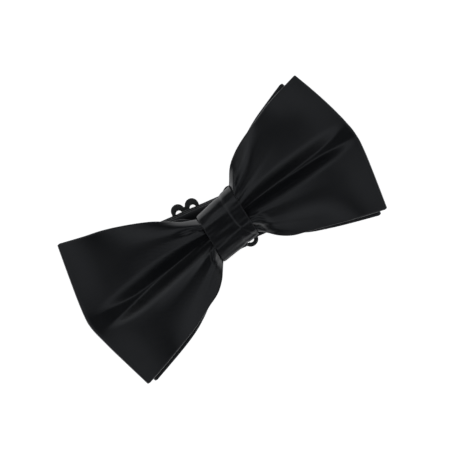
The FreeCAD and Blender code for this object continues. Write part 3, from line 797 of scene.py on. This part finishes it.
def moulded(name, outline, holes, s, z, round_edge=0.32):
    """Moulded plate from its outline and holes in (along, across) mm, with rounded edges."""
    data = bpy.data.curves.new(name, "CURVE")
    data.dimensions = "2D"
    data.fill_mode = "BOTH"
    data.bevel_depth = round_edge * MM
    data.bevel_resolution = 3
    data.offset = -round_edge * MM
    data.extrude = (PLATE / 2 - round_edge) * MM
    for ring in [outline] + holes:
        line = data.splines.new("POLY")
        line.points.add(len(ring) - 1)
        line.use_cyclic_u = True
        for point, (x, y) in zip(line.points, ring):
            point.co = (x * MM, y * MM, 0, 1)
    shape = bpy.data.objects.new(name + "_outline", data)
    bpy.context.collection.objects.link(shape)
    bpy.context.view_layer.update()
    mesh = bpy.data.meshes.new_from_object(
        shape.evaluated_get(bpy.context.evaluated_depsgraph_get()))
    bpy.data.objects.remove(shape)
    fix = bmesh.new()
    fix.from_mesh(mesh)
    bmesh.ops.remove_doubles(fix, verts=fix.verts, dist=1e-6)
    place = run_offset(4)
    for vert in fix.verts:
        x, y, h = vert.co / MM
        vert.co = Vector(strap_point(s + x, place + y, z + h)) * MM
    bmesh.ops.recalc_face_normals(fix, faces=fix.faces)
    return fix, mesh


def moulded_piece(name, fix, mesh, node, body):
    """Finished plastic part: smooth faces with crisp edges between them."""
    for face in fix.faces:
        face.smooth = True
    for edge in fix.edges:
        edge.smooth = not (edge.is_manifold and edge.calc_face_angle(0) > math.radians(35))
    fix.to_mesh(mesh)
    fix.free()
    piece = bpy.data.objects.new(name, mesh)
    bpy.context.collection.objects.link(piece)
    mesh.materials.clear()
    mesh.materials.append(PLASTIC)
    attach(piece, body)
    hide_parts(node)
    return piece


def add_swept(fix, path, profile):
    """Sweep a closed profile of (across, normal) mm along a path of (s, z), into fix."""
    place = run_offset(4)
    rings = []
    for k, (s, z) in enumerate(path):
        a, b = path[max(k - 1, 0)], path[min(k + 1, len(path) - 1)]
        tangent = np.array([b[0] - a[0], b[1] - a[1]])
        tangent = tangent / np.linalg.norm(tangent)
        rings.append([fix.verts.new(Vector(strap_point(s - tangent[1] * n, place + across,
                                                       z + tangent[0] * n)) * MM)
                      for across, n in profile])
    for one, two in zip(rings, rings[1:]):
        for k in range(len(profile)):
            j = (k + 1) % len(profile)
            fix.faces.new((one[k], two[k], two[j], one[j]))
    fix.faces.new(rings[0])
    fix.faces.new(reversed(rings[-1]))
    bmesh.ops.recalc_face_normals(fix, faces=fix.faces)


def add_bar(fix, s, reach):
    """Round strap bar across the ring at s."""
    place = run_offset(4)
    rings = []
    for lateral in np.linspace(-reach, reach, 9):
        rings.append([fix.verts.new(Vector(strap_point(s + 0.7 * math.cos(a), place + lateral,
                                                       BAR_Z + 0.7 * math.sin(a))) * MM)
                      for a in np.linspace(0, 2 * math.pi, 16, endpoint=False)])
    for one, two in zip(rings, rings[1:]):
        for k in range(16):
            j = (k + 1) % 16
            fix.faces.new((one[k], one[j], two[j], two[k]))
    fix.faces.new(rings[0])
    fix.faces.new(rings[-1])
    bmesh.ops.recalc_face_normals(fix, faces=fix.faces)


def ring_outline(towards):
    """The ring without its strap side: a C, open towards the strap, about the ring's centre."""
    outer = arc(0, 9.3, 2.9, 160, 0) + arc(0, -9.3, 2.9, 0, -160)
    inner = arc(0, -9.3, 1.3, -130, 0) + arc(0, 9.3, 1.3, 0, 130)
    return [(x * towards, y) for x, y in outer + inner]


def build_hardware():
    """Slider with four lobes and two slots, and the eye and hook, each a ring with a strap bar."""
    lobes = []
    for sign in (1, -1):
        for cx in (-2.8 * sign, 2.8 * sign):
            start, stop = (180, 12) if cx * sign < 0 else (168, 0)
            lobes += arc(cx, 10.9 * sign, 2.6, start if sign > 0 else start + 180,
                         stop if sign > 0 else stop + 180)
    fix, mesh = moulded("slider_moulding", lobes, [stadium(-2.8, 2.4, 22.0),
                                                   stadium(2.8, 2.4, 22.0)], SLIDER_S, SLIDER_Z)
    moulded_piece("slider_moulding", fix, mesh, "slider", "slider")

    fix, mesh = moulded("eye_moulding", ring_outline(1), [], EYE_BAR_S + 2.1, BAR_Z)
    add_bar(fix, EYE_BAR_S, 10.6)
    moulded_piece("eye_moulding", fix, mesh, "eye", "eye")

    centre = HOOK_BAR_S - 2.1
    fix, mesh = moulded("hook_moulding", ring_outline(-1), [], centre, BAR_Z)
    add_bar(fix, HOOK_BAR_S, 10.6)
    edge = centre - 2.9
    tongue = [(edge + 0.8, BAR_Z - 0.1), (edge - 1.4, BAR_Z - 0.1)]
    tongue += arc(edge - 3.6, BAR_Z + 1.15, 1.25, 270, 90, 14)
    tongue += [(edge - 2.2, BAR_Z + 2.4), (edge - 0.9, BAR_Z + 2.4)]
    profile = []
    for turn, (cx, cy) in enumerate(((3.7, 0.2), (-3.7, 0.2), (-3.7, -0.2), (3.7, -0.2))):
        profile += arc(cx, cy, 0.3, 90 * turn, 90 * turn + 90, 4)
    add_swept(fix, tongue, profile)
    moulded_piece("hook_moulding", fix, mesh, "hook", "hook")


def bar_tack(name, node, body, places, low, high):
    """Rows of zigzag thread across the strap, through its layers."""
    first = run_offset(4) - TACK_WIDTH / 2
    rows = [[strap_point(s + (ZIGZAG if k % 2 else -ZIGZAG),
                         first + TACK_WIDTH * k / (TACK_POINTS - 1), level)
             for k in range(TACK_POINTS)]
            for s in places for level in (low, high)]
    thread_piece(name, node, body, rows, 0.11)


build_centre_run()
build_side("left")
build_side("right")
build_adjuster()
build_hardware()
bar_tack("slider_tack_thread", "slider_bar_tack", "slider", (SLIDER_S - 0.65, SLIDER_S + 0.35),
         RETURN_Z - 0.36, RETURN_Z + 1.11)
bar_tack("hook_tack_thread", "hook_bar_tack", "right_run_4",
         (HOOK_BAR_S + 6.25, HOOK_BAR_S + 7.45), RETURN_Z - 0.36, RIGHT_RUN_4_Z + 0.36)


# ---------------------------------------------------------------- floor, light and camera
def build_floor():
    """White paper, just below the object."""
    mesh = bpy.data.meshes.new("floor")
    size = 1.5
    mesh.from_pydata([(-size, -size, 0), (size, -size, 0), (size, size, 0), (-size, size, 0)], [],
                     [(0, 1, 2, 3)])
    floor = bpy.data.objects.new("floor", mesh)
    bpy.context.collection.objects.link(floor)
    floor.location.z = -0.0002
    material, _, _, shader = new_material("white_paper")
    shader.inputs["Base Color"].default_value = (0.9, 0.9, 0.9, 1)
    shader.inputs["Roughness"].default_value = 0.9
    shader.inputs["Emission Color"].default_value = (1, 1, 1, 1)
    shader.inputs["Emission Strength"].default_value = 0.9
    mesh.materials.append(material)


def area_light(name, place, size, power, colour):
    """Soft box at place, facing the object."""
    data = bpy.data.lights.new(name, "AREA")
    data.shape = "RECTANGLE"
    data.size, data.size_y = size
    data.energy = power
    data.color = colour
    lamp = bpy.data.objects.new(name, data)
    lamp.location = place
    lamp.rotation_euler = (-Vector(place)).to_track_quat("-Z", "Y").to_euler()
    bpy.context.collection.objects.link(lamp)


# Brightness of the surroundings by height, 0 at the horizon and 1 straight overhead.
SKY = [(0.0, 0.9), (0.09, 0.85), (0.15, 0.04), (0.66, 0.03), (0.76, 0.62), (0.88, 0.62),
       (0.96, 0.04), (1.0, 0.01)]


def build_light():
    """A broad ring of soft light round the object, dim straight overhead, pale at the horizon."""
    world = bpy.data.worlds.new("studio")
    bpy.context.scene.world = world
    world.use_nodes = True
    nodes, links = world.node_tree.nodes, world.node_tree.links
    background = nodes["Background"]
    place = nodes.new("ShaderNodeTexCoord")
    split = nodes.new("ShaderNodeSeparateXYZ")
    shade = nodes.new("ShaderNodeValToRGB")
    stops = shade.color_ramp.elements
    for k, (height, level) in enumerate(SKY):
        stop = stops[k] if k < 2 else stops.new(height)
        stop.position = height
        stop.color = (level * 0.93, level * 0.97, level * 1.04, 1)
    links.new(place.outputs["Generated"], split.inputs[0])
    links.new(split.outputs["Z"], shade.inputs["Fac"])
    links.new(shade.outputs["Color"], background.inputs["Color"])
    area_light("key", (-0.45, 0.75, 0.8), (0.5, 0.4), 0.45, (0.94, 0.97, 1.0))
    area_light("fill", (0.6, -0.75, 0.7), (0.5, 0.4), 0.3, (0.95, 0.98, 1.0))


def build_camera():
    """Straight down, turned so that the bow runs up to the right across the frame."""
    data = bpy.data.cameras.new("camera")
    data.lens = 132.0
    data.sensor_width = 36.0
    camera = bpy.data.objects.new("camera", data)
    camera.location = (0.0016, 0.0009, 0.614)
    camera.rotation_euler = (0, 0, math.radians(-35.5))
    data.dof.use_dof = False
    bpy.context.collection.objects.link(camera)
    bpy.context.scene.camera = camera


build_floor()
build_light()
build_camera()
bpy.context.scene.view_settings.view_transform = "Standard"
